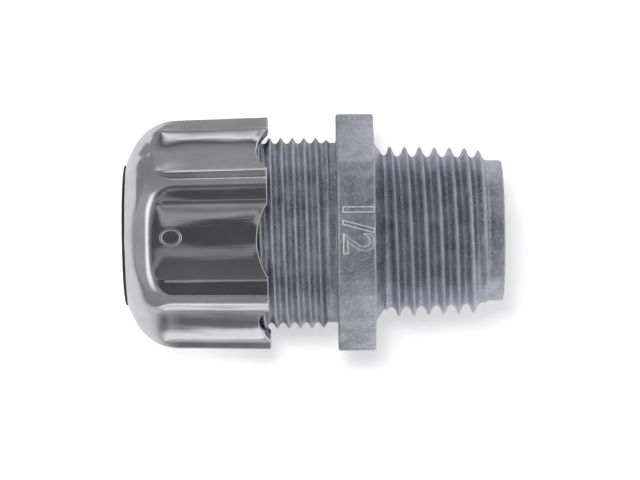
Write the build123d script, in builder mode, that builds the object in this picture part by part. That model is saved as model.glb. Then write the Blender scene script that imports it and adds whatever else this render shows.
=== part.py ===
"""Liquidtight conduit connector with a half-inch tapered pipe hub.

A cast body carries a hexagon flange, a tapered hub that goes into a box and a
threaded barrel. A drawn steel gland nut with six fluted panels screws over the
barrel and pushes a sealing ring towards it. A steel ferrule stands in the body,
where it holds the end of the conduit open.

Millimetres. The axis is X, with the hub towards +X. The origin is on the axis,
in the flange face that meets the box. +Z is up, and the connector lies on a
flat of its flange and a corner of its nut.
"""

import os
from math import cos, degrees, radians, sin, tan

from build123d import *

# Hub: tapered thread seen at its crests, then a plain nose
hub_radius = 10.45
hub_taper = 1 / 32
hub_length = 15.5
hub_wall = 2.85
hub_neck_length = 1.1
hub_neck_depth = 1.1
hub_root_flare = 0.45
hub_lead_in = 1.1
nose_length = 1.8
nose_wall = 0.95
nose_edge = 0.3
throat_edge = 0.4

# Barrel: the straight thread that the gland nut turns on
barrel_length = 15.93
barrel_wall = 2.4
barrel_neck_length = 0.8
barrel_neck_depth = 0.65
barrel_lead_in = 0.5
gland_pitch = 25.4 / 18
tighten_turns = 3

# Flange: a hexagon whose flats stand above the barrel, with its corners cut flat
flange_rise = 1.35
flange_corner_cut = 0.55
flange_thickness = 4.57
flange_edge = 0.3

# Bevelled mouth of the barrel, which the sealing ring is pressed into
mouth_bevel_angle = 31
mouth_bevel_width = 1.3

# Ferrule: drawn tube with a coned flange that sits on a ledge in the body
ledge_depth = 2.5
ledge_width = 1.6
ferrule_wall = 0.7
ferrule_bore_radius = 4.6
ferrule_reach = 2.3
ferrule_cone = 1.3
ferrule_clearance = 0.15

# Sealing ring: bevelled at both ends, with a thin lip that shows in the mouth
ring_bore_step = 1.15
ring_nose_step = 0.1
ring_body_length = 5.55
ring_lip_wall = 0.5
ring_lip_proud = 0.3
ring_lip_edge = 0.2
ring_back_edge = 0.5
ring_seat_clearance = 0.35
ring_dome_clearance = 0.25

# Gland nut: a drawn hexagon cup with a flute pressed into each side
nut_length = 17.24
nut_wall = 0.9
nut_web = 0.28
nut_corner_round = 1.2
nut_flare_angle = 1.2
nut_turned = 6.1
flute_width = 8.7
flute_depth = 0.3
scallop_depth = 1.3
dome_cone_angle = 64
dome_corner_bend = 6.4
dome_panel_bend = 4.8
dome_mouth_clearance = 0.2
thread_clearance = 0.08

# What follows from the sizes above
sides = 6
half_side = radians(180 / sides)
corner_chords = 4
panel_cuts = 3
overrun = 2.0
flange_back = -flange_thickness
barrel_end = flange_back - barrel_length
nose_shoulder = hub_length - nose_length
ledge = -ledge_depth
travel = tighten_turns * gland_pitch

# Every radius of the body is counted outwards from the throat
throat_radius = hub_radius - hub_wall
nose_radius = throat_radius + nose_wall
barrel_bore_radius = throat_radius + ledge_width
barrel_radius = barrel_bore_radius + barrel_wall
flange_apothem = barrel_radius + flange_rise
ferrule_radius = ferrule_bore_radius + ferrule_wall
ferrule_tip = barrel_end - ferrule_reach

bevel_slope = tan(radians(mouth_bevel_angle))
bevel_mouth_radius = barrel_bore_radius + mouth_bevel_width
ring_radius = bevel_mouth_radius
ring_bore_radius = barrel_bore_radius - ring_bore_step
ring_nose_radius = barrel_bore_radius + ring_nose_step
ring_lip_radius = ring_bore_radius + ring_lip_wall

# With the nut fully tightened the ring's nose is one clearance off the bevel
nose_seat_radius = ring_nose_radius + ring_seat_clearance
ring_nose = barrel_end + (bevel_mouth_radius - nose_seat_radius) / bevel_slope - travel
ring_shoulder = ring_nose - ring_body_length

# The dome's cone lies one clearance outside the ring's back bevel
cone_slope = tan(radians(dome_cone_angle))
cone_gap = ring_dome_clearance / sin(radians(dome_cone_angle))
dome_mouth_radius = ring_lip_radius + dome_mouth_clearance
inner_cone_start = ring_shoulder - cone_gap
outer_cone_start = inner_cone_start - nut_wall / sin(radians(dome_cone_angle))
nut_mouth = outer_cone_start + dome_mouth_clearance / cone_slope
nut_lip = nut_mouth + nut_length
wall_mid = (nut_mouth + nut_lip) / 2
flare_slope = tan(radians(nut_flare_angle))
ring_tip = nut_mouth - ring_lip_proud

# The flutes leave a thin web of sheet outside the thread
nut_thread_radius = barrel_radius + thread_clearance
nut_apothem = nut_thread_radius + nut_web + flute_depth
flute_half = flute_width / 2
flute_radius = (flute_half**2 + flute_depth**2) / (2 * flute_depth)
scallop_radius = (flute_half**2 + scallop_depth**2) / (2 * scallop_depth)
first_panel = nut_turned + 180 / sides


def hub_radius_at(x):
    """Radius of the hub's thread crests, which narrow towards the nose."""
    return hub_radius - hub_taper * x


def dome_bend(wall_radius, bend_radius, inset, steps):
    """Steps of the bend from the dome's cone to a wall, each with its angle and place.

    The centre of the bend lies one bend radius inside the cone and inside the wall.
    """
    cone_angle = radians(dome_cone_angle)
    flare_angle = radians(nut_flare_angle)
    cone_start = outer_cone_start + inset / sin(cone_angle)
    apart = wall_radius - flare_slope * wall_mid - ring_lip_radius + cone_slope * cone_start
    apart += bend_radius * (1 / cos(cone_angle) - 1 / cos(flare_angle))
    centre_x = apart / (cone_slope - flare_slope)
    centre_radius = wall_radius + flare_slope * (centre_x - wall_mid)
    centre_radius -= bend_radius / cos(flare_angle)
    places = []
    for step in steps:
        angle = cone_angle + (flare_angle - cone_angle) * step
        x = centre_x - bend_radius * sin(angle)
        places.append((angle, x, centre_radius + bend_radius * cos(angle)))
    return places


def drawn_cup(inset):
    """The nut's outside as a solid, or its hollow when inset is the wall."""
    apothem = nut_apothem - inset
    corner_round = max(nut_corner_round - inset, inset / 3)
    corner_reach = (apothem - corner_round) / cos(half_side) + corner_round
    start = nut_mouth - overrun
    depth = nut_length + overrun + inset
    # Turned profile: the cone, chords of its bend, and the flare of the corners
    cone_start = outer_cone_start + inset / sin(radians(dome_cone_angle))
    profile = [(cone_start - overrun / cone_slope, ring_lip_radius - overrun)]
    steps = [step / corner_chords for step in range(corner_chords + 1)]
    for _, x, radius in dome_bend(corner_reach, dome_corner_bend - inset, inset, steps):
        profile.append((x, radius))
    lip = nut_lip + overrun
    profile.append((lip, corner_reach + flare_slope * (lip - wall_mid)))
    with BuildPart() as cup:
        with BuildSketch(Plane.YZ.offset(start)):
            narrow = apothem + flare_slope * (start - wall_mid)
            RegularPolygon(narrow, sides, major_radius=False, rotation=nut_turned)
        extrude(amount=depth, taper=-nut_flare_angle)
        # Each panel bends into the dome too, which a few flat cuts stand for
        steps = [(cut + 0.5) / panel_cuts for cut in range(panel_cuts)]
        for angle, x, radius in dome_bend(apothem, dome_panel_bend - inset, inset, steps):
            with BuildSketch(Plane.YZ.offset(start)):
                narrow = radius - tan(angle) * (x - start)
                RegularPolygon(narrow, sides, major_radius=False, rotation=nut_turned)
            extrude(amount=depth, taper=-degrees(angle), mode=Mode.INTERSECT)
        with BuildSketch(Plane.XZ):
            with BuildLine():
                Polyline(*profile, (lip, 0), (profile[0][0], 0), close=True)
            make_face()
        revolve(axis=Axis.X, mode=Mode.INTERSECT)
        # A pressed flute keeps the sheet's thickness, so its hollow side is an arc
        # about the same centre with a radius that is larger by the wall.
        centre = nut_apothem - flute_depth + flute_radius
        with Locations(Plane.YZ.offset(wall_mid)):
            with PolarLocations(centre, sides, start_angle=first_panel):
                Cylinder(
                    flute_radius + inset,
                    nut_length + 2 * overrun,
                    rotation=(0, nut_flare_angle, 0),
                    mode=Mode.SUBTRACT,
                )
    return cup.part


os.makedirs("parts", exist_ok=True)

with BuildPart() as body:
    # The cut corners are the sides of a second hexagon, turned by half a side
    with BuildSketch(Plane.YZ.offset(flange_back)):
        corner_reach = flange_apothem / cos(half_side) - flange_corner_cut
        turned = degrees(half_side)
        RegularPolygon(flange_apothem, sides, major_radius=False)
        RegularPolygon(
            corner_reach, sides, major_radius=False, rotation=turned, mode=Mode.INTERSECT
        )
    extrude(amount=flange_thickness)
    chamfer(body.faces().filter_by(Axis.X).edges(), flange_edge)
    # Barrel and hub
    with BuildSketch(Plane.XZ):
        with BuildLine():
            neck_radius = barrel_radius - barrel_neck_depth
            neck_end = flange_back - barrel_neck_length
            groove = hub_radius_at(0) - hub_neck_depth
            thread_start = hub_neck_length + hub_neck_depth
            Polyline(
                (barrel_end, 0),
                (barrel_end, barrel_radius - barrel_lead_in),
                (barrel_end + barrel_lead_in, barrel_radius),
                (neck_end - barrel_neck_depth, barrel_radius),
                (neck_end, neck_radius),
                (flange_back, neck_radius),
                (0, hub_radius + hub_root_flare),
                (hub_neck_length, groove),
                (thread_start, hub_radius_at(thread_start)),
                (nose_shoulder - hub_lead_in, hub_radius_at(nose_shoulder - hub_lead_in)),
                (nose_shoulder, nose_radius),
                (hub_length - nose_edge, nose_radius),
                (hub_length, nose_radius - nose_edge),
                (hub_length, 0),
                close=True,
            )
        make_face()
    revolve(axis=Axis.X)
    # The way through: bevelled mouth, barrel bore, ledge for the ferrule, throat
    with BuildSketch(Plane.XZ):
        with BuildLine():
            bevel_end = barrel_end + mouth_bevel_width / bevel_slope
            Polyline(
                (barrel_end, 0),
                (barrel_end, bevel_mouth_radius),
                (bevel_end, barrel_bore_radius),
                (ledge, barrel_bore_radius),
                (ledge, throat_radius),
                (hub_length - throat_edge, throat_radius),
                (hub_length, throat_radius + throat_edge),
                (hub_length, 0),
                close=True,
            )
        make_face()
    revolve(axis=Axis.X, mode=Mode.SUBTRACT)
body.part.label = "body"

with BuildPart() as ferrule:
    with BuildSketch(Plane.XZ):
        with BuildLine():
            rim = barrel_bore_radius - ferrule_clearance
            cone_outer = ferrule_radius + ferrule_cone
            cone_inner = cone_outer - ferrule_wall
            # The flange is coned at 45 degrees, and its bends are mitred to keep the wall
            mitre = ferrule_wall * tan(radians(45 / 2))
            Polyline(
                (ferrule_tip, ferrule_bore_radius),
                (ferrule_tip, ferrule_radius),
                (ledge - ferrule_wall - ferrule_cone, ferrule_radius),
                (ledge - ferrule_wall, cone_outer),
                (ledge - ferrule_wall, rim),
                (ledge, rim),
                (ledge, cone_inner + mitre),
                (ledge - ferrule_cone - mitre, ferrule_bore_radius),
                close=True,
            )
        make_face()
    revolve(axis=Axis.X)
ferrule.part.label = "ferrule"

with BuildPart() as sealing_ring:
    with BuildSketch(Plane.XZ):
        with BuildLine():
            nose_bevel_end = ring_nose - (ring_radius - ring_nose_radius) / bevel_slope
            back_bevel_end = ring_shoulder + (ring_radius - ring_lip_radius) / cone_slope
            back_edge_radius = ring_radius - ring_back_edge
            back_edge_start = back_bevel_end - ring_back_edge / cone_slope
            Polyline(
                (ring_tip, ring_bore_radius),
                (ring_tip, ring_lip_radius - ring_lip_edge),
                (ring_tip + ring_lip_edge, ring_lip_radius),
                (ring_shoulder, ring_lip_radius),
                (back_edge_start, back_edge_radius),
                (back_bevel_end + ring_back_edge, ring_radius),
                (nose_bevel_end, ring_radius),
                (ring_nose, ring_nose_radius),
                (ring_nose, ring_bore_radius),
                close=True,
            )
        make_face()
    revolve(axis=Axis.X)
sealing_ring.part.label = "sealing_ring"

nut_outside = drawn_cup(0)
nut_hollow = drawn_cup(nut_wall)

with BuildPart() as gland_nut:
    add(nut_outside)
    add(nut_hollow, mode=Mode.SUBTRACT)
    # Thread bore, as deep as the barrel reaches when the nut is tight
    thread_end = barrel_end - travel - ring_seat_clearance
    with Locations(Plane.YZ.offset(thread_end)):
        Cylinder(
            nut_thread_radius,
            nut_lip + overrun - thread_end,
            align=(Align.CENTER, Align.CENTER, Align.MIN),
            mode=Mode.SUBTRACT,
        )
    # Mouth for the conduit
    with Locations(Plane.YZ.offset(nut_mouth)):
        Cylinder(dome_mouth_radius, 2 * overrun, mode=Mode.SUBTRACT)
    # One shallow scallop in the lip of each panel
    scallop_centre = nut_lip - scallop_depth + scallop_radius
    with Locations(Plane.YZ.offset(scallop_centre)):
        with PolarLocations(nut_apothem, sides, start_angle=first_panel):
            Cylinder(scallop_radius, 2 * overrun, rotation=(0, 90, 0), mode=Mode.SUBTRACT)
gland_nut.part.label = "gland_nut"

export_step(body.part, "parts/body.step")
export_step(ferrule.part, "parts/ferrule.step")
export_step(sealing_ring.part, "parts/sealing_ring.step")
export_step(gland_nut.part, "parts/gland_nut.step")

print("flange back", round(flange_back, 3), "barrel end", round(barrel_end, 3))
print("ring from", round(ring_tip, 3), "to", round(ring_nose, 3))
print("nut from", round(nut_mouth, 3), "to", round(nut_lip, 3))
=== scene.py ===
# %% [markdown]
# # A liquidtight conduit connector
# This lesson dresses a small metal fitting. A cast zinc body has a straight thread
# for its gland nut, a hexagon flange and a tapered pipe thread. The nut is drawn
# from sheet steel and plated. A black sealing ring shows in its mouth, and a steel
# ferrule stands inside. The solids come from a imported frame, already at their real
# places and sizes. What is added here is the threads, the rounded edges and the finish.

# %% Load the frame
import math

import bmesh
import bpy
import numpy as np
from mathutils import Matrix, Vector


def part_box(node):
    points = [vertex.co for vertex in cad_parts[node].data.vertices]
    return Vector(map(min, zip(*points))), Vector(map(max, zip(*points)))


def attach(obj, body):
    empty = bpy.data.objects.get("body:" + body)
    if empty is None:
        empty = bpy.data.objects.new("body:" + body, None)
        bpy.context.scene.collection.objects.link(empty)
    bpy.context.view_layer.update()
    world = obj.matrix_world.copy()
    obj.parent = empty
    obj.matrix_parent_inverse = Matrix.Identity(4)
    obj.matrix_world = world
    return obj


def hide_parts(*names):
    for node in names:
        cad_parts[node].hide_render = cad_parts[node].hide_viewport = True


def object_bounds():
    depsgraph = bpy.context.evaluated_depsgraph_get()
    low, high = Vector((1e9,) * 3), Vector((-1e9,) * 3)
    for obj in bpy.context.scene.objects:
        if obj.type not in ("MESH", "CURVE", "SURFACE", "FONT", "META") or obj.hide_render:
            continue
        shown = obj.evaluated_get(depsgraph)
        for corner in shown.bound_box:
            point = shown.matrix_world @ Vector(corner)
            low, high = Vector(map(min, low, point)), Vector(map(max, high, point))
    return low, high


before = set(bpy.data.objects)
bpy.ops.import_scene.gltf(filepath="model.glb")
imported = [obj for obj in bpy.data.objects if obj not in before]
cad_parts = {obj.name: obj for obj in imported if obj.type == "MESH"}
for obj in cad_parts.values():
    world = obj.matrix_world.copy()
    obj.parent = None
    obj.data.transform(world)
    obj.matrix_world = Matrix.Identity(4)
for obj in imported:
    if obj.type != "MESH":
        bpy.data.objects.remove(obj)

cad_low, cad_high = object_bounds()

# %% [markdown]
# ## Sizes
# Lengths below are in millimetres, because that is how such a part is drawn. The
# main ones are read from the frame's boxes, so the dressing always fits the solids.
# The rest are the wall, the pitches and the small radii that a box can't tell. SIDE is
# the angle that one side of a hexagon takes, and HALF is half of it.

# %% Sizes
MM = 0.001
SIDE = math.radians(60)
HALF = SIDE / 2
body_low, body_high = (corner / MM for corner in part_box("body"))
nut_low, nut_high = (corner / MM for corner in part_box("gland_nut"))
ring_low, ring_high = (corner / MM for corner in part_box("sealing_ring"))
ferrule_low, ferrule_high = (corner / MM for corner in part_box("ferrule"))

barrel_end = body_low.x
hub_end = body_high.x
flange_apothem = body_high.z
flange_back = -4.57
flange_edge = 0.3
corner_cut = 0.55
flange_corner = flange_apothem / math.cos(HALF) - corner_cut

barrel_radius = flange_apothem - 1.35
barrel_bore = barrel_radius - 2.4
throat = barrel_bore - 1.6
throat_lead = 0.4
neck_radius = barrel_radius - 0.65
neck_start = flange_back - 0.8
ledge = ferrule_high.x
bevel_mouth = ring_high.z
bevel_slope = math.tan(math.radians(31))
bevel_end = barrel_end + (bevel_mouth - barrel_bore) / bevel_slope
nose_radius = throat + 0.95
nose_step = nose_radius + 0.02
nose_shoulder = hub_end - 1.8
hub_crest = throat + 2.85
hub_taper = 1 / 32
hub_neck = hub_crest - 1.1
hub_neck_end = 1.1

gland_pitch = 25.4 / 18
gland_depth = 0.7
barrel_lead = barrel_radius - gland_depth
hub_pitch = 25.4 / 14
hub_depth = 1.17
print("barrel radius", round(barrel_radius, 3), "hub radius", round(hub_crest, 3))

# %% [markdown]
# ## A small language for node trees
# Node trees grow quickly when every link is written out. One class wraps a socket
# and overloads the operators, so that `1 - mask * 2` adds its own Math nodes. Any
# other node comes from one method that takes the type, the settings and the sockets.
# The same class serves the geometry trees and the materials.


# %% Node helpers
class Graph:
    """A node tree that new nodes are added to."""

    def __init__(self, tree):
        self.tree = tree

    def put(self, value, socket):
        if isinstance(value, Value):
            self.tree.links.new(value.socket, socket)
        else:
            socket.default_value = value

    def node(self, kind, settings=None, sockets=None, output=0):
        """Adds a node, sets it, fills its sockets and returns one of its outputs."""
        made = self.tree.nodes.new(kind)
        for name, setting in (settings or {}).items():
            if name == "stops":
                ramp = made.color_ramp.elements
                while len(ramp) < len(setting):
                    ramp.new(0.5)
                for stop, (place, colour) in zip(ramp, setting):
                    stop.position = place
                    stop.color = (*colour, 1)
            else:
                setattr(made, name, setting)
        for name, value in (sockets or {}).items():
            self.put(value, made.inputs[name])
        return Value(self, made.outputs[output])

    def maths(self, operation, *values):
        return self.node("ShaderNodeMath", {"operation": operation}, dict(enumerate(values)))

    def mix(self, factor, first, second):
        """A colour between two colours."""
        settings = {"data_type": "RGBA", "clamp_factor": True}
        made = self.node("ShaderNodeMix", settings, {0: factor}, 2).socket.node
        for value, socket in ((first, made.inputs[6]), (second, made.inputs[7])):
            self.put(value if isinstance(value, Value) else (*value, 1), socket)
        return Value(self, made.outputs[2])


class Value:
    """A socket that carries a number, with operators that add Math nodes."""

    def __init__(self, graph, socket):
        self.graph = graph
        self.socket = socket

    def of(self, output):
        """Another output of the same node."""
        return Value(self.graph, self.socket.node.outputs[output])

    def maths(self, operation, *others):
        """A Math node with this value in its first socket."""
        return self.graph.maths(operation, self, *others)

    def __add__(self, other):
        return self.maths("ADD", other)

    def __sub__(self, other):
        return self.maths("SUBTRACT", other)

    def __rsub__(self, other):
        return self.graph.maths("SUBTRACT", other, self)

    def __mul__(self, other):
        return self.maths("MULTIPLY", other)

    def __truediv__(self, other):
        return self.maths("DIVIDE", other)

    def __rtruediv__(self, other):
        return self.graph.maths("DIVIDE", other, self)

    def __pow__(self, other):
        return self.maths("POWER", other)

    __radd__ = __add__
    __rmul__ = __mul__

    def least(self, other):
        return self.maths("MINIMUM", other)

    def most(self, other):
        return self.maths("MAXIMUM", other)

    def between(self, low, high):
        return self.most(low).least(high)

    def fade(self, low, high):
        """0 below low, 1 above high and a straight ramp between."""
        return ((self - low) / (high - low)).between(0, 1)


print("node helpers ready")

# %% [markdown]
# ## Cast zinc
# The body is die cast and then tumbled, which leaves a dull lilac grey with a soft
# sheen. The colour wanders a little, and edges and thread crests are rubbed brighter.
# The hollows get painted shade: their colour is darkened where less light reaches them.
# All of that could be painted into a picture, but here noise on the object's own
# coordinates makes the mottling, and an attribute of the mesh says where edges and
# hollows are. Plain faces are a little smoother than the threads, and the thinnest
# raised beads are rubbed the brightest.


# %% Cast zinc
def new_material(name):
    material = bpy.data.materials.new(name)
    material.use_nodes = True
    tree = material.node_tree
    return material, Graph(tree), tree.nodes["Principled BSDF"]


def noise(graph, vector, scale, detail=3.0, roughness=0.55):
    sockets = {"Vector": vector, "Scale": scale, "Detail": detail, "Roughness": roughness}
    return graph.node("ShaderNodeTexNoise", {}, sockets, "Fac")


def object_coordinates(graph):
    return graph.node("ShaderNodeTexCoord", {}, {}, "Object")


def stretched(graph, vector, scale):
    """The same coordinates with another scale along each axis."""
    return graph.node("ShaderNodeMapping", {}, {"Vector": vector, "Scale": scale})


def edge_mask(graph):
    """The mesh's own record of edges: above 0 on ridges and below 0 in hollows."""
    return graph.node("ShaderNodeAttribute", {"attribute_name": "ridge"}, {}, "Fac")


def bump(graph, height, distance):
    return graph.node("ShaderNodeBump", {}, {"Height": height, "Distance": distance})


def cast_zinc():
    material, graph, shader = new_material("cast_zinc")
    where = object_coordinates(graph)
    mottle = noise(graph, where, 520)
    patch = noise(graph, where, 130, 2.0)
    grain = noise(graph, where, 2600, 4.0, 0.7)
    ridge = edge_mask(graph)
    worn = ridge.fade(0.01, 0.14)
    rubbed = ridge.fade(0.18, 0.34)
    # Mask for painted shade in the hollows, where less light falls
    hollow_painted_shade = (0 - ridge).fade(0.01, 0.12)
    colour = graph.mix(patch.fade(0.35, 0.65), (0.3, 0.3, 0.355), (0.46, 0.455, 0.53))
    colour = graph.mix(mottle.fade(0.45, 0.62) * 0.6, colour, (0.61, 0.61, 0.7))
    colour = graph.mix(grain.fade(0.5, 0.66) * 0.8, colour, (0.74, 0.74, 0.83))
    # Painted shade: hollows are darkened towards this grey
    colour = graph.mix(hollow_painted_shade * 0.3, colour, (0.34, 0.34, 0.39))
    colour = graph.mix(worn * 0.5, colour, (0.6, 0.6, 0.65))
    colour = graph.mix(rubbed * 0.7, colour, (0.86, 0.86, 0.88))
    graph.put(colour, shader.inputs["Base Color"])
    graph.put(0.92 - worn * 0.15 - rubbed * 0.3, shader.inputs["Metallic"])
    rough = 0.31 + (worn + hollow_painted_shade) * 0.12 + (grain - 0.5) * 0.4
    graph.put(rough.between(0.1, 1), shader.inputs["Roughness"])
    relief = grain * 0.8 + mottle * 1.1
    graph.put(bump(graph, relief, 0.00006), shader.inputs["Normal"])
    return material


zinc = cast_zinc()
print("made", zinc.name)

# %% [markdown]
# ## Bright plated steel
# The nut is pressed from sheet and plated, so it mirrors the room. What makes it look
# real is that the mirror isn't perfect: the press draws faint lines along the nut, the
# sheet is a little wavy and the plating is duller in places. Long stretched noise
# gives the lines, and a large soft noise bends the reflections.


# %% Bright plated steel
def bright_steel(name, dark, light, dullness):
    material, graph, shader = new_material(name)
    where = object_coordinates(graph)
    drawn = noise(graph, stretched(graph, where, (0.06, 1, 1)), 2400, 4.0, 0.6)
    wave = noise(graph, stretched(graph, where, (0.35, 1, 1)), 300, 1.0, 0.4)
    stain = noise(graph, where, 210, 4.0)
    speck = noise(graph, where, 3800, 2.0, 0.7)
    worn = edge_mask(graph).fade(0.05, 0.3)
    colour = graph.mix(stain.fade(0.35, 0.7), dark, light)
    colour = graph.mix(worn * 0.6, colour, (0.86, 0.86, 0.85))
    graph.put(colour, shader.inputs["Base Color"])
    shader.inputs["Metallic"].default_value = 1.0
    rough = dullness + stain * 0.07 + (drawn - 0.5) * 0.06 + speck.fade(0.55, 0.75) * 0.04
    graph.put(rough.between(0.03, 1), shader.inputs["Roughness"])
    relief = wave * 0.7 + drawn * 0.03 + speck * 0.01
    graph.put(bump(graph, relief, 0.00011), shader.inputs["Normal"])
    return material


nut_steel = bright_steel("bright_steel", (0.66, 0.65, 0.68), (0.78, 0.77, 0.8), 0.02)
ferrule_steel = bright_steel("ferrule_steel", (0.5, 0.5, 0.52), (0.62, 0.61, 0.6), 0.24)
print("made", nut_steel.name, ferrule_steel.name)

# %% [markdown]
# ## Black rubber
# The sealing ring is moulded rubber. It is nearly black, with a fine matt skin and a
# faint grey bloom. One flat black would look like a hole in the picture, so a soft
# noise moves its colour and roughness by small amounts and a fine one roughens the skin.


# %% Black rubber
def black_rubber():
    material, graph, shader = new_material("black_rubber")
    where = object_coordinates(graph)
    bloom = noise(graph, where, 420)
    grain = noise(graph, where, 5200, 3.0)
    worn = edge_mask(graph).fade(0.05, 0.3)
    colour = graph.mix(bloom.fade(0.4, 0.75), (0.012, 0.012, 0.014), (0.035, 0.034, 0.037))
    colour = graph.mix(worn * 0.5, colour, (0.06, 0.06, 0.062))
    graph.put(colour, shader.inputs["Base Color"])
    graph.put(0.48 + bloom * 0.2, shader.inputs["Roughness"])
    graph.put(bump(graph, grain, 0.00002), shader.inputs["Normal"])
    return material


rubber = black_rubber()
print("made", rubber.name)

# %% [markdown]
# ## A thread from Geometry Nodes
# A thread follows a rule: its radius depends on how far a point is from the crest of
# one long helix. A grid of points is rolled into a sleeve, each column is slid along
# by its share of a turn, and so the rows of the grid run along the helix and the
# crests stay sharp. The tree has named inputs, so the same one cuts the gland thread,
# the tapered pipe thread and the ferrule's grooves. It ends as a plain mesh.

# %% Thread tree
THREAD_LENGTHS = ["Start", "End", "First crest", "Pitch", "Crest radius", "Depth", "Start radius",
                  "Start fade", "End radius", "End fade", "Nick depth"]
THREAD_INPUTS = [
    ("NodeSocketFloat", THREAD_LENGTHS + ["Taper", "Crest share", "Valley", "Nick seed"]),
    ("NodeSocketInt", ["Columns", "Rows per turn"]),
    ("NodeSocketMaterial", ["Finish"]),
]


def thread_tree():
    tree = bpy.data.node_groups.new("thread_sleeve", "GeometryNodeTree")
    for kind, names in THREAD_INPUTS:
        for name in names:
            tree.interface.new_socket(name, in_out="INPUT", socket_type=kind)
    tree.interface.new_socket("Geometry", in_out="OUTPUT", socket_type="NodeSocketGeometry")
    graph = Graph(tree)
    inlet = graph.node("NodeGroupInput")
    start, end, first, pitch = (inlet.of(n) for n in ("Start", "End", "First crest", "Pitch"))
    rows = ((end - first) / pitch * inlet.of("Rows per turn")).maths("CEIL") + 1
    sizes = {"Size X": 1.0, "Size Y": 1.0, "Vertices X": rows, "Vertices Y": inlet.of("Columns") + 1}
    grid = graph.node("GeometryNodeMeshGrid", {}, sizes, "Mesh")
    place = graph.node("GeometryNodeInputPosition")
    split = graph.node("ShaderNodeSeparateXYZ", {}, {0: place})
    turn = split.of("Y") + 0.5
    along = (split.of("X") + 0.5) * (rows - 1) / inlet.of("Rows per turn")
    x = (first + (along + turn) * pitch).between(start, end)
    angle = turn * math.tau
    cosine, sine = angle.maths("COSINE"), angle.maths("SINE")
    # 0 on the crest of the helix and 1 in the middle of the valley
    phase = (x - first) / pitch - turn + 0.5
    away = (phase.maths("FRACT") - 0.5).maths("ABSOLUTE") * 2
    flat = inlet.of("Crest share")
    height = (1 - ((away - flat) / (1 - flat)).between(0, 1)) ** inlet.of("Valley")
    # Small nicks in the crests, from a noise on a sleeve of 10 mm radius
    around = graph.node("ShaderNodeCombineXYZ", {}, {0: x, 1: cosine * 0.01, 2: sine * 0.01})
    seed = {"Vector": around, "W": inlet.of("Nick seed"), "Scale": 900.0, "Detail": 2.0}
    dents = graph.node("ShaderNodeTexNoise", {"noise_dimensions": "4D"}, seed, "Fac")
    nick = dents.fade(0.56, 0.74) * inlet.of("Nick depth") * height
    crest = inlet.of("Crest radius") - (x - start) * inlet.of("Taper")
    radius = crest - (1 - height) * inlet.of("Depth") - nick
    for edge, distance in (("Start", x - start), ("End", end - x)):
        share = (distance / inlet.of(edge + " fade")).between(0, 1)
        radius = inlet.of(edge + " radius") * (1 - share) + radius * share
    rolled = graph.node("ShaderNodeCombineXYZ", {}, {0: x, 1: radius * cosine, 2: radius * sine})
    sleeve = graph.node("GeometryNodeSetPosition", {}, {"Geometry": grid, "Position": rolled})
    welded = graph.node("GeometryNodeMergeByDistance", {}, {"Geometry": sleeve, "Distance": 2e-6})
    outward = graph.node("GeometryNodeFlipFaces", {}, {"Mesh": welded})
    solid = graph.node("GeometryNodeRealizeInstances", {}, {"Geometry": outward})
    sockets = {"Geometry": solid, "Material": inlet.of("Finish")}
    painted = graph.node("GeometryNodeSetMaterial", {}, sockets)
    outlet = tree.nodes.new("NodeGroupOutput")
    graph.put(painted, outlet.inputs[0])
    return tree


sleeve_tree = thread_tree()
print("thread tree nodes", len(sleeve_tree.nodes))


# %% Threads
COLUMNS = 144
weld = 3e-6


def thread_mesh(name, finish, columns=COLUMNS, rows=12, **sizes):
    """Runs the thread tree once and returns what it made as a plain mesh."""
    holder = bpy.data.objects.new(name, bpy.data.meshes.new(name))
    bpy.context.scene.collection.objects.link(holder)
    nodes = holder.modifiers.new("thread", "NODES")
    nodes.node_group = sleeve_tree
    given = {key.replace("_", " ").capitalize(): value for key, value in sizes.items()}
    given.update({"Columns": columns, "Rows per turn": rows, "Finish": finish})
    for item in sleeve_tree.interface.items_tree:
        if item.name in given:
            value = given[item.name]
            nodes[item.identifier] = value * MM if item.name in THREAD_LENGTHS else value
    graph = bpy.context.evaluated_depsgraph_get()
    mesh = bpy.data.meshes.new_from_object(holder.evaluated_get(graph))
    bpy.data.objects.remove(holder)
    print(name, "vertices", len(mesh.vertices))
    return mesh


def crest_before(start, crest, pitch):
    """The nearest crest position that lies a full turn or more before the start."""
    return crest - pitch * math.ceil((crest - start) / pitch + 1)


crest_share = 0.12
gland_crest = -11.29
gland_valley = 2.0
gland_thread = thread_mesh(
    "gland_thread", zinc,
    start=barrel_end, end=neck_start, first_crest=crest_before(barrel_end, gland_crest, gland_pitch),
    pitch=gland_pitch, crest_radius=barrel_radius, taper=0.0, depth=gland_depth,
    crest_share=crest_share, valley=gland_valley, start_radius=barrel_lead, start_fade=0.6,
    end_radius=neck_radius, end_fade=0.6, nick_depth=0.12, nick_seed=3.0,
)
hub_first = 1.956
hub_thread = thread_mesh(
    "hub_thread", zinc,
    start=hub_neck_end, end=nose_shoulder, first_crest=crest_before(hub_neck_end, hub_first, hub_pitch),
    pitch=hub_pitch, crest_radius=hub_crest - hub_taper * hub_neck_end, taper=hub_taper,
    depth=hub_depth, crest_share=crest_share, valley=2.1, start_radius=hub_neck, start_fade=0.7,
    end_radius=nose_step, end_fade=1.1, nick_depth=0.14, nick_seed=8.0,
)

# %% [markdown]
# ## Turned and cast shapes
# Everything else on these pieces is a profile carried round the axis. A helper rounds
# the corners of a profile, another turns it into rows of points, and a third stitches
# neighbouring rows with faces. Where one row has twice the points of the next, the
# stitching uses triangles, so the flange can have finer columns than the threads.


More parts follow.
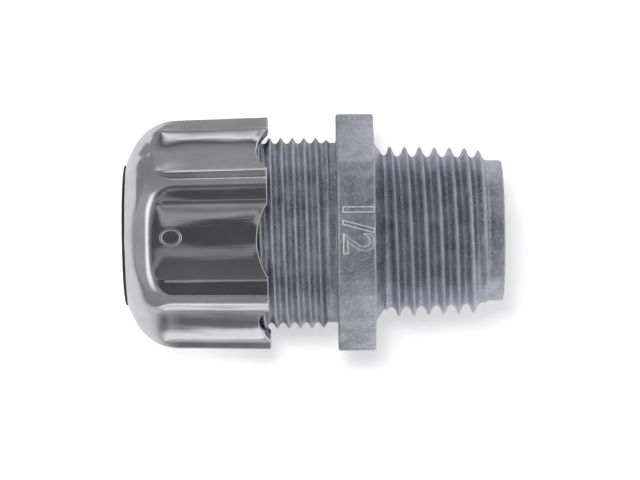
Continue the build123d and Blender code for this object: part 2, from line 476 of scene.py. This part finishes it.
# %% Row helpers
def soften(points, radius, steps=4):
    """Rounds each inner corner of a profile with a short smooth curve."""
    most = 0.45  # of the length of either side
    points = [np.array(p, float) for p in points]
    made = [points[0]]
    for before, corner, after in zip(points, points[1:], points[2:]):
        ahead, behind = after - corner, before - corner
        reach = min(radius, np.linalg.norm(ahead) * most, np.linalg.norm(behind) * most)
        a = corner + behind / np.linalg.norm(behind) * reach
        b = corner + ahead / np.linalg.norm(ahead) * reach
        for step in range(steps + 1):
            t = step / steps
            made.append((1 - t) ** 2 * a + 2 * t * (1 - t) * corner + t**2 * b)
    made.append(points[-1])
    return made


def ring_row(x, radius, angles):
    """One row of points round the axis. x and radius may be numbers or arrays."""
    x = np.broadcast_to(x, angles.shape)
    radius = np.broadcast_to(radius, angles.shape)
    return np.column_stack([x, radius * np.cos(angles), radius * np.sin(angles)])


def turned_rows(profile, radius, angles):
    return [ring_row(x, r, angles) for x, r in soften(profile, radius)]


def stitch(rows, closed=False):
    """Points and faces of a skin over the rows."""
    points = np.concatenate(rows)
    starts = np.cumsum([0] + [len(row) for row in rows])
    faces = []
    pairs = list(zip(range(len(rows) - 1), range(1, len(rows))))
    if closed:
        pairs.append((len(rows) - 1, 0))
    for low, high in pairs:
        a, b, n, m = starts[low], starts[high], len(rows[low]), len(rows[high])
        for k in range(min(n, m)):
            k1 = (k + 1) % min(n, m)
            if n == m:
                faces.append((a + k, a + k1, b + k1, b + k))
            elif m == 2 * n:
                near, middle, far = b + 2 * k, b + 2 * k + 1, b + (2 * k + 2) % m
                faces += [(a + k, middle, near), (a + k, a + k1, middle), (a + k1, far, middle)]
            else:
                near, middle, far = a + 2 * k, a + 2 * k + 1, a + (2 * k + 2) % n
                faces += [(near, middle, b + k), (middle, b + k1, b + k), (middle, far, b + k1)]
    return points, faces


print("a rounded corner has", len(soften([(0, 0), (1, 0), (1, 1)], 0.2)) - 2, "points")

# %% [markdown]
# ## From rows to finished pieces
# Strips that meet still have doubled points, and faces that may look inwards. One
# helper welds them, turns the faces out and keeps real edges sharp. Another measures
# how far each point stands out of its neighbours, because that is where a real piece
# wears and where the zinc's hollows get painted shade. A baked picture could hold that
# too, but a number at each point is simpler.


# %% Mesh helpers
def mark_ridges(mesh, spread):
    """Stores how far each point stands out of its neighbours, as the attribute ridge."""
    count = len(mesh.vertices)
    places = np.empty(count * 3)
    mesh.vertices.foreach_get("co", places)
    places = places.reshape(-1, 3)
    normals = np.empty(count * 3)
    mesh.vertex_normals.foreach_get("vector", normals)
    normals = normals.reshape(-1, 3)
    ends = np.empty(len(mesh.edges) * 2, dtype=np.int64)
    mesh.edges.foreach_get("vertices", ends)
    a, b = ends.reshape(-1, 2).T
    step = places[a] - places[b]
    length = np.maximum(np.linalg.norm(step, axis=1), 1e-9)
    total = np.bincount(a, (step * normals[a]).sum(1) / length, count)
    total -= np.bincount(b, (step * normals[b]).sum(1) / length, count)
    share = np.maximum(np.bincount(a, minlength=count) + np.bincount(b, minlength=count), 1)
    ridge = total / share
    for _ in range(spread):
        around = np.bincount(a, ridge[b], count) + np.bincount(b, ridge[a], count)
        ridge = (ridge + around / share) / 2
    mesh.attributes.new("ridge", "FLOAT", "POINT").data.foreach_set("value", ridge)
    return ridge


def finish_piece(name, mesh, finish, spread=2):
    """Welds a mesh, turns its faces outwards, shades it and puts it in the scene."""
    crease = math.radians(40)
    work = bmesh.new()
    work.from_mesh(mesh)
    bmesh.ops.remove_doubles(work, verts=work.verts, dist=weld)
    bmesh.ops.dissolve_degenerate(work, dist=1e-6, edges=work.edges)
    bmesh.ops.recalc_face_normals(work, faces=work.faces)
    open_edges = sum(1 for edge in work.edges if not edge.is_manifold)
    for face in work.faces:
        face.smooth = True
    for edge in work.edges:
        edge.smooth = edge.calc_face_angle(0) < crease
    work.to_mesh(mesh)
    work.free()
    mesh.materials.clear()
    mesh.materials.append(finish)
    ridge = mark_ridges(mesh, spread)
    piece = bpy.data.objects.new(name, mesh)
    bpy.context.scene.collection.objects.link(piece)
    triangles = sum(len(face.vertices) - 2 for face in mesh.polygons)
    print(name, "triangles", triangles, "open edges", open_edges,
          "ridge", round(float(ridge.min()), 2), round(float(ridge.max()), 2))
    return piece


def mesh_of(name, points, faces):
    mesh = bpy.data.meshes.new(name)
    mesh.from_pydata((points * MM).tolist(), [], [[int(i) for i in face] for face in faces])
    return mesh


def closed_piece(name, rows, finish):
    """A piece whose last row joins its first."""
    return finish_piece(name, mesh_of(name, *stitch(rows, closed=True)), finish)


def joined(name, meshes):
    """One mesh with the faces of several, still unwelded."""
    work = bmesh.new()
    for mesh in meshes:
        work.from_mesh(mesh)
    whole = bpy.data.meshes.new(name)
    work.to_mesh(whole)
    work.free()
    return whole


print("mesh helpers ready, welding at", weld / MM, "mm")

# %% [markdown]
# ## The body
# The body is one casting, so it is one mesh: two threaded sleeves, a strip for the
# flange between them and a strip that goes over the nose, through the bore and out
# over the bevelled mouth. Separate parts pushed into each other would be quicker, but
# they would leave hard seams. The flange's outline is a hexagon with its corners cut
# off. Twelve flat sides are blended, which leaves each edge slightly round as a mould
# does. The edge mask is spread wider here, because a rubbed cast thread is soft.

# %% Body
columns = np.arange(COLUMNS) * math.tau / COLUMNS


def hexagon_angles(per_side, cut_half):
    """Angles round a hexagon with columns on both edges of each cut corner."""
    corner = np.linspace(-cut_half, cut_half, per_side // 6 + 1)[:-1]
    side = np.linspace(cut_half, SIDE - cut_half, per_side - per_side // 6 + 1)[:-1]
    return np.concatenate([np.concatenate([corner, side]) + SIDE * k for k in range(6)])


def flange_radius(angles, inset):
    """Radius of the hexagon with cut corners, a little inside its full size."""
    sharpness = 220.0
    total = np.zeros_like(angles)
    for k in range(12):
        reach = (flange_corner if k % 2 == 0 else flange_apothem) - inset
        towards = np.maximum(np.cos(angles - HALF * k), 0) / reach
        total += towards**sharpness
    return total ** (-1 / sharpness)


# Twice as many columns as the threads have, shared out over the six sides
flange_angles = hexagon_angles(2 * COLUMNS // 6, math.atan(corner_cut * math.sqrt(3) / flange_corner))


def flange_edge_rows(face, inward):
    """Rows over a rounded edge, from the full size to a face of the flange."""
    rows = []
    for turn in np.linspace(0, math.pi / 2, 6):
        x = face + inward * flange_edge * (1 - math.sin(turn))
        radius = flange_radius(flange_angles, flange_edge * (1 - math.cos(turn)))
        rows.append(ring_row(x, radius, flange_angles))
    return rows


def flange_rows():
    back = [(neck_start, neck_radius), (flange_back, neck_radius), (flange_back, neck_radius + 0.5)]
    front = [(0, hub_crest + 0.75), (0, hub_crest + 0.45), (hub_neck_end, hub_neck)]
    edges = flange_edge_rows(flange_back, 1)[::-1] + flange_edge_rows(0, -1)
    return turned_rows(back, 0.3, columns) + edges + turned_rows(front, 0.15, columns)


bore_profile = [
    (nose_shoulder, nose_step), (nose_shoulder + 0.1, nose_radius), (hub_end, nose_radius),
    (hub_end, throat + throat_lead), (hub_end - throat_lead, throat), (ledge, throat),
    (ledge, barrel_bore), (bevel_end, barrel_bore), (barrel_end, bevel_mouth), (barrel_end, barrel_lead),
]
strips = [
    mesh_of("flange_strip", *stitch(flange_rows())),
    mesh_of("bore_strip", *stitch(turned_rows(bore_profile, 0.25, columns))),
]
body_mesh = joined("zinc_body", strips + [gland_thread, hub_thread])
body_piece = finish_piece("zinc_body", body_mesh, zinc, spread=4)

# %% [markdown]
# ## The gland nut
# The nut is a cup of sheet steel, pressed into a hexagon with a shallow flute in each
# side, a domed end and a scalloped lip. No single extrusion or revolve gives that, so
# its surface is a formula: for each angle and each place along the axis it is the
# smaller of the hexagon's radius and the dome's. The inside is the same formula one
# sheet thickness further in, cut by the thread where it reaches that far.

# %% Nut sizes
nut_wall = 0.9
flare_angle = math.radians(1.2)
nut_flare = math.tan(flare_angle)
nut_turn = math.radians(6.1)
thread_clearance = 0.08
least_wall = 0.28
flute_half = 4.35
flute_depth = 0.3
nut_apothem = barrel_radius + thread_clearance + least_wall + flute_depth
flute_radius = (flute_half**2 + flute_depth**2) / (2 * flute_depth)
corner_round = 1.2
bead_height = 0.045
bead_half = 0.2
scallop_depth = 1.3
nut_mouth = nut_low.x
nut_lip = nut_high.x
wall_mid = (nut_mouth + nut_lip) / 2
ring_bore = barrel_bore - 1.15
ring_lip = 0.5
mouth_gap = 0.2
mouth_radius = ring_bore + ring_lip + mouth_gap
dome_angle = math.radians(64)
corner_bend = 6.4
panel_bend = 4.8
tighten_turns = 3
thread_stop = barrel_end - tighten_turns * gland_pitch - 0.35
# Where the flutes, their beads and the hexagon run out along the axis
flute_out = (-27.3, -24.9)
bead_out = (-26.0, -24.7)
hexagon_out = (-28.0, -23.6)
dome_rows_end = -23.4
print("nut apothem", round(nut_apothem, 3), "mouth radius", round(mouth_radius, 3))


# %% Nut section
def sector(angles):
    """Angle from the middle of the nearest panel, and half the angle of a panel."""
    return (angles - math.pi / 2 - nut_turn + HALF) % SIDE - HALF


def soft_least(first, second, blend):
    """The smaller of two lengths, with the crease between them slightly rounded."""
    return np.minimum(first, second) - blend * np.log1p(np.exp(-np.abs(first - second) / blend))


def smooth_step(x, low, high):
    share = np.clip((x - low) / (high - low), 0, 1)
    return share * share * (3 - 2 * share)


def domed(x, reach, bend, inset):
    """Profile of a flared wall that bends over into the dome's cone."""
    slope = math.tan(dome_angle)
    start = nut_mouth - mouth_gap / slope + inset / math.sin(dome_angle)
    base = mouth_radius - mouth_gap
    reach, bend = reach - inset, bend - inset
    apart = reach - nut_flare * wall_mid - base + slope * start
    apart += bend * (1 / math.cos(dome_angle) - 1 / math.cos(flare_angle))
    centre_x = apart / (slope - nut_flare)
    centre_r = reach + nut_flare * (centre_x - wall_mid) - bend / math.cos(flare_angle)
    arc = centre_r + np.sqrt(np.maximum(bend**2 - (x - centre_x) ** 2, 0))
    lines = np.minimum(base + slope * (x - start), reach + nut_flare * (x - wall_mid))
    from_x = centre_x - bend * math.sin(dome_angle)
    to_x = centre_x - bend * math.sin(flare_angle)
    return np.where((x > from_x) & (x < to_x), arc, lines)


def nut_section(x, angles, inset):
    """Radius of the fluted, domed hexagon at a place along the axis."""
    phi = sector(angles)
    apothem = domed(x, nut_apothem, panel_bend, inset)
    flat = apothem / np.cos(phi)
    # The corner is an arc that touches both flats
    bend = max(corner_round - inset, inset / 3)
    centre = (apothem - bend) / math.cos(HALF)
    off = HALF - np.abs(phi)
    reach = np.maximum(bend**2 - (centre * np.sin(off)) ** 2, 0)
    arc = centre * np.cos(off) + np.sqrt(reach)
    limit = (apothem - bend) * math.tan(HALF)
    section = np.where(np.abs(apothem * np.tan(phi)) > limit, arc, flat)
    # The flute is an arc about a centre outside the nut, and runs out before the dome
    outside = apothem + inset - flute_depth + flute_radius
    curve = flute_radius + inset
    flute = outside * np.cos(phi) - np.sqrt(np.maximum(curve**2 - (outside * np.sin(phi)) ** 2, 0))
    dent = section - soft_least(section, flute, 0.012)
    section = section - dent * smooth_step(x, *flute_out)
    # The press leaves a low bead along each edge of the flute
    if not inset:
        off_bead = (np.abs(apothem * np.tan(phi)) - flute_half - 0.1) / bead_half
        section = section + bead_height * np.exp(-(off_bead**2)) * smooth_step(x, *bead_out)
    # The dome is turned, and the corners of the hexagon melt into it
    corner = (nut_apothem - corner_round) / math.cos(HALF) + corner_round
    turned = domed(x, corner, corner_bend, inset)
    blend = 0.02 if inset else 0.02 + 0.16 * (1 - smooth_step(x, *hexagon_out))
    return soft_least(section, turned + blend * math.log(2), blend)


panel_and_corner = np.array([0, HALF]) + math.pi / 2 + nut_turn
print("radius on a panel and a corner", nut_section(wall_mid, panel_and_corner, 0).round(2))


# %% Nut surface
def column_angles(per_sector):
    """Angles round the nut, closer together at the creases and the corners."""
    fine = np.linspace(0, HALF, 4001)
    place = nut_apothem * np.tan(fine)
    density = 1 + 3.5 * np.exp(-(((place - flute_half) / 0.35) ** 2))
    density += 2.5 * np.exp(-(((place - place[-1]) / 0.7) ** 2))
    total = np.concatenate([[0], np.cumsum((density[1:] + density[:-1]) / 2)])
    half = np.interp(np.linspace(0, total[-1], per_sector // 2 + 1), total, fine)
    whole = np.concatenate([-half[:0:-1], half[:-1]])
    turns = [whole + SIDE * k for k in range(6)]
    return np.concatenate(turns) + math.pi / 2 + nut_turn


def lip_place(angles):
    """Where the scalloped lip ends at each angle."""
    across = nut_apothem * np.tan(sector(angles))
    radius = (flute_half**2 + scallop_depth**2) / (2 * scallop_depth)
    dip = np.sqrt(np.maximum(radius**2 - across**2, 0)) - (radius - scallop_depth)
    return nut_lip - np.maximum(dip, 0)


def thread_radius(x, angles):
    """Radius of the nut's own thread, one clearance outside the barrel's."""
    phase = (x - gland_crest) / gland_pitch - angles / math.tau
    away = 2 * np.abs(phase - np.round(phase))
    height = (1 - np.clip((away - crest_share) / (1 - crest_share), 0, 1)) ** gland_valley
    return barrel_radius - (1 - height) * gland_depth + thread_clearance


def inner_wall(x, angles):
    """The inside of the sheet, or the nut's bore where that is further out."""
    return np.maximum(nut_section(x, angles, nut_wall), barrel_radius + thread_clearance)


def nut_rows():
    angles = column_angles(46)
    lip = lip_place(angles)
    edge = 0.16
    # Round the rim of the mouth, then over the dome and along the panels
    rows = [ring_row(nut_mouth + 0.15, mouth_radius, angles)]
    rows.append(ring_row(nut_mouth + 0.04, mouth_radius + 0.03, angles))
    for share in np.linspace(0, 1, 40):
        x = nut_mouth + 0.07 + (dome_rows_end - nut_mouth - 0.07) * (1 - math.cos(share * math.pi / 2))
        rows.append(ring_row(x, nut_section(np.full_like(angles, x), angles, 0), angles))
    for share in np.linspace(0, 1, 14)[1:]:
        x = dome_rows_end + (lip - edge - dome_rows_end) * share
        rows.append(ring_row(x, nut_section(x, angles, 0), angles))
    # Over the lip, with both of its edges rounded
    outer = nut_section(lip, angles, 0)
    inner = inner_wall(lip, angles)
    rounding = np.minimum(edge, (outer - inner) / 2.2)
    for turn in np.linspace(0, math.pi / 2, 5)[1:]:
        rise, fall = 1 - math.sin(turn), 1 - math.cos(turn)
        rows.append(ring_row(lip - rounding * rise, outer - rounding * fall, angles))
    for turn in np.linspace(0, math.pi / 2, 5):
        rise, fall = 1 - math.sin(turn), 1 - math.cos(turn)
        rows.append(ring_row(lip - rounding * fall, inner + rounding * rise, angles))
    # Back along the thread, whose rows follow the helix
    per_turn = 10
    first = crest_before(thread_stop, gland_crest, gland_pitch)
    turns = math.ceil((nut_lip - first) / gland_pitch * per_turn)
    for k in range(turns, -1, -1):
        x = first + gland_pitch * (k / per_turn + angles / math.tau % 1)
        x = np.clip(x, thread_stop, lip - rounding)
        radius = np.maximum(nut_section(x, angles, nut_wall), thread_radius(x, angles))
        blend = np.clip((lip - rounding - x) / 0.5, 0, 1)
        rows.append(ring_row(x, inner_wall(x, angles) * (1 - blend) + radius * blend, angles))
    hollow_end = nut_mouth + nut_wall / math.sin(dome_angle)
    for share in np.linspace(1, 0, 18):
        x = hollow_end + (thread_stop - hollow_end) * (1 - math.cos(share * math.pi / 2))
        rows.append(ring_row(x, nut_section(np.full_like(angles, x), angles, nut_wall), angles))
    return rows


nut_piece = closed_piece("drawn_nut", nut_rows(), nut_steel)

# %% [markdown]
# ## A stamped mark on the nut
# The middle panel carries a small raised ring near the dome. It could be cut into the
# big mesh, but a little loop that sinks half its height into the sheet is simpler. Its
# points are laid on the panel with the nut's own formula, so it follows the flute.

# %% Nut mark
mark_centre_x = nut_mouth + 5.7
mark_half_x = 1.17
mark_half_across = 0.98
mark_line = 0.17
mark_rise = 0.09
mark_off = 0.5


def mark_rows(steps=64, profile_steps=10):
    """Rows round the mark, each a small rounded section that stands on the sheet."""
    rows = []
    for section in np.arange(profile_steps) * math.tau / profile_steps:
        turns = np.arange(steps) * math.tau / steps
        spread = mark_line * math.cos(section)
        x = mark_centre_x + (mark_half_x + spread) * np.cos(turns)
        across = mark_off + (mark_half_across + spread) * np.sin(turns)
        angles = math.pi / 2 + nut_turn - np.arctan(across / nut_apothem)
        base = nut_section(x, angles, 0)
        rows.append(ring_row(x, base + mark_rise * math.sin(section), angles))
    return rows


mark_piece = closed_piece("nut_mark", mark_rows(), nut_steel)

# %% [markdown]
# ## Raised size on the flange
# A half-inch fitting usually has its size cast into a flat of the flange. Text is made
# as a curve whose outline is a thin round bead, turned into a mesh, and then its place
# is applied to the points, so that the piece stays at the origin like all the others.

# %% Flange size
def raised_text(name, words, height, bead, place, finish):
    """A bead along the outline of some figures, read from the side of the flange."""
    curve = bpy.data.curves.new(name, "FONT")
    curve.body = words
    curve.size = height * MM * 1.36  # a figure takes 0.735 of its font's size
    curve.align_x = "CENTER"
    curve.align_y = "CENTER"
    curve.fill_mode = "NONE"
    curve.bevel_depth = bead * MM
    curve.bevel_resolution = 2
    curve.resolution_u = 6
    holder = bpy.data.objects.new(name, curve)
    bpy.context.scene.collection.objects.link(holder)
    graph = bpy.context.evaluated_depsgraph_get()
    mesh = bpy.data.meshes.new_from_object(holder.evaluated_get(graph))
    bpy.data.objects.remove(holder)
    mesh.transform(Matrix.Translation(Vector(place) * MM) @ Matrix.Rotation(-math.pi / 2, 4, "Z"))
    return finish_piece(name, mesh, finish)


size_place = (flange_back / 2, 0.2, flange_apothem - 0.03)
size_piece = raised_text("flange_size", "1/2", 3.8, 0.14, size_place, zinc)

# %% [markdown]
# ## Sealing ring and ferrule
# Both are turned profiles. The ring is a closed loop of rubber, bevelled at each end,
# whose thin lip shows in the nut's mouth. The ferrule's tube is grooved so that it
# grips inside the conduit, and the thread tree makes those grooves too.

# %% Sealing ring
ring_shoulder = ring_high.x - 5.55
ring_back = ring_shoulder + (bevel_mouth - ring_bore - ring_lip) / math.tan(dome_angle)
back_edge = 0.5
back_edge_x = ring_back - back_edge / math.tan(dome_angle)
nose_gap = 0.1
nose_bevel = ring_high.x - (bevel_mouth - barrel_bore - nose_gap) / bevel_slope
ring_middle = (ring_low.x + ring_high.x) / 2
ring_profile = [
    (ring_middle, ring_bore), (ring_low.x, ring_bore), (ring_low.x, ring_bore + ring_lip),
    (ring_shoulder, ring_bore + ring_lip), (back_edge_x, bevel_mouth - back_edge),
    (ring_back + back_edge, bevel_mouth), (nose_bevel, bevel_mouth),
    (ring_high.x, barrel_bore + nose_gap), (ring_high.x, ring_bore), (ring_middle, ring_bore),
]
ring_piece = closed_piece("rubber_ring", turned_rows(ring_profile, 0.18, columns)[:-1], rubber)

# %% Ferrule
ferrule_bore = 4.6
ferrule_wall = 0.7
ferrule_tube = ferrule_bore + ferrule_wall
groove_start = ferrule_low.x + 0.8
groove_end = ledge - 6
groove_pitch = 2.0
groove_depth = 0.28
groove_root = ferrule_tube - groove_depth
tube_columns = COLUMNS // 2
ferrule_groove = thread_mesh(
    "ferrule_groove", ferrule_steel, columns=tube_columns, rows=10,
    start=groove_start, end=groove_end,
    first_crest=crest_before(groove_start, groove_start, groove_pitch),
    pitch=groove_pitch, crest_radius=ferrule_tube, taper=0.0, depth=groove_depth, crest_share=0.3,
    valley=1.0, start_radius=groove_root, start_fade=0.4, end_radius=ferrule_tube, end_fade=0.6,
    nick_depth=0.02, nick_seed=5.0,
)
cone = 1.3
cone_shift = ferrule_wall * math.tan(math.radians(22.5))
ferrule_profile = [
    (groove_end, ferrule_tube), (ledge - ferrule_wall - cone, ferrule_tube),
    (ledge - ferrule_wall, ferrule_tube + cone), (ledge - ferrule_wall, ferrule_high.z),
    (ledge, ferrule_high.z), (ledge, ferrule_bore + cone + cone_shift),
    (ledge - cone - cone_shift, ferrule_bore), (ferrule_low.x, ferrule_bore),
    (ferrule_low.x, groove_root), (groove_start, groove_root),
]
tube_angles = np.arange(tube_columns) * math.tau / tube_columns
tube = mesh_of("tube", *stitch(turned_rows(ferrule_profile, 0.15, tube_angles)))
ferrule_mesh = joined("drawn_ferrule", [tube, ferrule_groove])
ferrule_piece = finish_piece("drawn_ferrule", ferrule_mesh, ferrule_steel)

# %% [markdown]
# ## The floor and its cards
# Bright metal shows its surroundings, so the floor does two jobs. To the camera it is
# plain white and keeps the shadow. To the metal it is a set of grey and white cards,
# as a studio lays paper round an object. Real cards would throw shadows and stand in
# the other views, so a ramp along the floor's Y tones the floor, two masks add a card
# beyond the dome and one at the hub, and Light Path says which kind of ray asks.

# %% Floor
floor_level = min(cad_low.z / MM, nut_low.z)
floor_lift = 0.34
card_reach = 250.0
floor_cards = [
    (-250, 0.27), (-68, 0.28), (-62, 0.65), (-54, 0.65), (-50, 0.3), (-46.5, 0.3), (-44.5, 0.6),
    (-43, 1.0), (-36.5, 1.0), (-35.2, 0.75), (-33.5, 0.35), (-31.5, 0.17), (-28.8, 0.15),
    (-27.5, 0.2), (-25.5, 0.34), (0, 0.24), (30, 0.35), (58, 0.35), (64, 0.28), (72, 0.23),
    (75, 0.12), (82, 0.12), (88, 0.33), (93, 0.6), (100, 1.0), (114, 0.95), (130, 0.76),
    (145, 0.6), (165, 0.4), (250, 0.42),
]
floor_half = 1500.0


def floor_material():
    material, graph, shader = new_material("white_floor")
    tree = material.node_tree
    path = graph.node("ShaderNodeLightPath")
    shader.inputs["Base Color"].default_value = (0.82, 0.82, 0.82, 1)
    shader.inputs["Roughness"].default_value = 1.0
    shader.inputs["Specular IOR Level"].default_value = 0.0
    lift = path.of("Is Camera Ray") * floor_lift
    glow = graph.node("ShaderNodeEmission", {}, {"Color": (1, 1, 1, 1), "Strength": lift})
    lit = graph.node("ShaderNodeAddShader", {}, {0: Value(graph, shader.outputs[0]), 1: glow})
    place = graph.node("ShaderNodeSeparateXYZ", {}, {0: object_coordinates(graph)})
    x, y = place.of("X") / MM, place.of("Y") / MM
    stops = [(0.5 + at / (2 * card_reach), (tone, tone, tone)) for at, tone in floor_cards]
    across = (y / (2 * card_reach) + 0.5).between(0, 1)
    cards = graph.node("ShaderNodeValToRGB", {"stops": stops}, {"Fac": across})
    tone = graph.mix(x.fade(-31, -37), cards, (0.29, 0.29, 0.3))
    # The card at the hub
    tone = graph.mix(x.fade(-12, 4), tone, (0.8, 0.8, 0.845))
    # The card beyond the dome, with a slanted upper edge, fading away from the object
    dome_card = graph.mix(x.fade(-70, -160), (0.78, 0.78, 0.8), (0.45, 0.45, 0.47))
    upper_edge = (y - x.fade(-45, -42) * 22).fade(28, 22)
    tone = graph.mix(x.fade(-25, -31) * upper_edge * y.fade(-48, -24), tone, dome_card)
    mirrored = graph.node("ShaderNodeEmission", {}, {"Color": tone, "Strength": 1.0})
    chosen = {0: path.of("Is Glossy Ray"), 1: lit, 2: mirrored}
    total = graph.node("ShaderNodeMixShader", {}, chosen)
    graph.put(total, tree.nodes["Material Output"].inputs["Surface"])
    return material


def make_floor():
    corners = ((-1, -1), (1, -1), (1, 1), (-1, 1))
    points = np.array([(x * floor_half, y * floor_half, floor_level) for x, y in corners])
    mesh = mesh_of("floor", points, [(0, 1, 2, 3)])
    mesh.materials.append(floor_material())
    floor = bpy.data.objects.new("floor", mesh)
    bpy.context.scene.collection.objects.link(floor)
    return floor


floor = make_floor()
print("floor at", round(floor_level, 3), "cards", len(floor_cards))

# %% [markdown]
# ## The room overhead
# The nut's middle panel mirrors what is above it. Under a plain grey sky it would look
# like plastic. So the ceiling is dark with two strips of light, and the horizon is
# paler. A picture of a real room would do this too, but a ramp over the slope of the
# direction is smaller and can be moved by one number. A bright box low in the
# direction of the dome gives the arc of light on the dome's bend.

# %% World
strip_shift = 0.2
# Degrees from straight up, towards the camera's lower edge, and the tone there
ceiling = [
    (-8, 0.14), (3.5, 0.11), (5, 0.26), (7, 0.26), (9, 0.085), (17.5, 0.08), (18.5, 0.36),
    (21, 0.36), (22.5, 0.13), (30, 0.16),
]


def make_world():
    world = bpy.data.worlds.new("room")
    bpy.context.scene.world = world
    world.use_nodes = True
    graph = Graph(world.node_tree)
    direction = graph.node("ShaderNodeTexCoord", {}, {}, "Generated")
    split = graph.node("ShaderNodeSeparateXYZ", {}, {0: direction})
    x, y, z = split.of("X"), split.of("Y"), split.of("Z")
    slope = (0 - y) / z.most(0.05) + strip_shift
    stops = []
    for angle, tone in ceiling:
        stops.append((math.tan(math.radians(angle)) + strip_shift, (tone, tone, tone)))
    strips = graph.node("ShaderNodeValToRGB", {"stops": stops}, {"Fac": slope.between(0, 1)})
    # The horizon is paler behind the hub and a little darker to both sides
    beside = y.maths("ABSOLUTE").fade(0.3, 0.7)
    horizon = (0.42 + x.fade(0.1, 0.5) * 0.3) * (1 - beside * 0.25)
    low = (x * x + y * y).maths("SQRT").fade(0.3, 0.6)
    level = strips * (1 - low) + horizon * low
    # A softbox that the bend at the edge of the dome mirrors
    off_x = (x + 0.66) / 0.15
    off_y = (y + 0.1) / 0.5
    box = (1 - off_x * off_x).between(0, 1) * (1 - off_y * off_y).between(0, 1) * z.fade(0.1, 0.2)
    level = level + box * 0.85
    background = world.node_tree.nodes["Background"]
    background.inputs["Color"].default_value = (0.97, 0.97, 1.0, 1)
    graph.put(level, background.inputs["Strength"])


make_world()
print("ceiling stops", len(ceiling))

# %% [markdown]
# ## Lamps
# Three lamps light the object at a plain level, at which its colours look as written.
# Small lamps would throw hard shadows, so these are wide rectangles. The one overhead
# makes the soft shadow that lies close round the object. Mirrors don't see the lamps:
# every highlight on the nut comes from the cards, the strips and the box.


# %% Lamps
def soft_lamp(name, place, size, power):
    """A wide lamp that faces the object and shows in no reflection."""
    data = bpy.data.lights.new(name, "AREA")
    data.shape = "RECTANGLE"
    data.size = size[0] * MM
    data.size_y = size[1] * MM
    data.energy = power
    lamp = bpy.data.objects.new(name, data)
    lamp.location = Vector(place) * MM
    lamp.rotation_euler = (-lamp.location).to_track_quat("-Z", "Y").to_euler()
    lamp.visible_glossy = False
    bpy.context.scene.collection.objects.link(lamp)
    print(name, "lamp", power, "W")


soft_lamp("key", (-380, 130, 250), (300, 150), 1.2)
soft_lamp("fill", (120, -420, 240), (300, 140), 0.5)
soft_lamp("overhead", (-38, 54, 430), (75, 75), 0.85)

# %% [markdown]
# ## Camera
# The object is seen almost from straight above, two degrees off, and lies level but
# for a slight roll. A camera can be aimed with a constraint. Here its three axes are
# written out, so that the roll is one clear number. The lens is long, and comes from
# the distance and from how many picture points a millimetre takes.

# %% Camera
camera_distance = 400.0
focal_pixels = 3280.0
frame_pixels = 640.0
camera_height = math.radians(88)
camera_roll = math.radians(0.8)
aim = Vector((-6.66, -0.89, 0.0))

camera_data = bpy.data.cameras.new("camera")
camera_data.sensor_width = 36
camera_data.lens = focal_pixels / frame_pixels * camera_data.sensor_width
camera_data.clip_start = 0.01
camera = bpy.data.objects.new("camera", camera_data)
bpy.context.scene.collection.objects.link(camera)
back = Vector((0, -math.cos(camera_height), math.sin(camera_height)))
up = Vector((0, math.sin(camera_height), math.cos(camera_height)))
across = Vector((1, 0, 0))
right = across * math.cos(camera_roll) - up * math.sin(camera_roll)
upright = across * math.sin(camera_roll) + up * math.cos(camera_roll)
turn = Matrix((right, upright, back)).transposed().to_4x4()
camera.matrix_world = Matrix.Translation((aim + back * camera_distance) * MM) @ turn
bpy.context.scene.camera = camera
bpy.context.scene.view_settings.view_transform = "Standard"
print("lens", round(camera_data.lens, 1))

# %% [markdown]
# ## Tie the pieces to the frame
# Each piece rides on the body that carries it. Four of them stand for the solid that
# they were made from, and the mark and the raised size are only added on. The nut's
# thread follows the barrel's at every pose, because the joint moves it by one pitch for
# each turn.

# %% Ride and replace
for piece, body, slot in ((mark_piece, "nut", "bright_nut"), (size_piece, "fitting", "cast_zinc")):
    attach(piece, body)
    print(piece.name, "rides on", body)
for piece, body, node, slot in (
    (body_piece, "fitting", "body", "cast_zinc"),
    (ferrule_piece, "fitting", "ferrule", "plated_ferrule"),
    (ring_piece, "seal", "sealing_ring", "black_seal"),
    (nut_piece, "nut", "gland_nut", "bright_nut"),
):
    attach(piece, body)
    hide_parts(node)
    print(piece.name, "rides on", body, "and stands for", node)
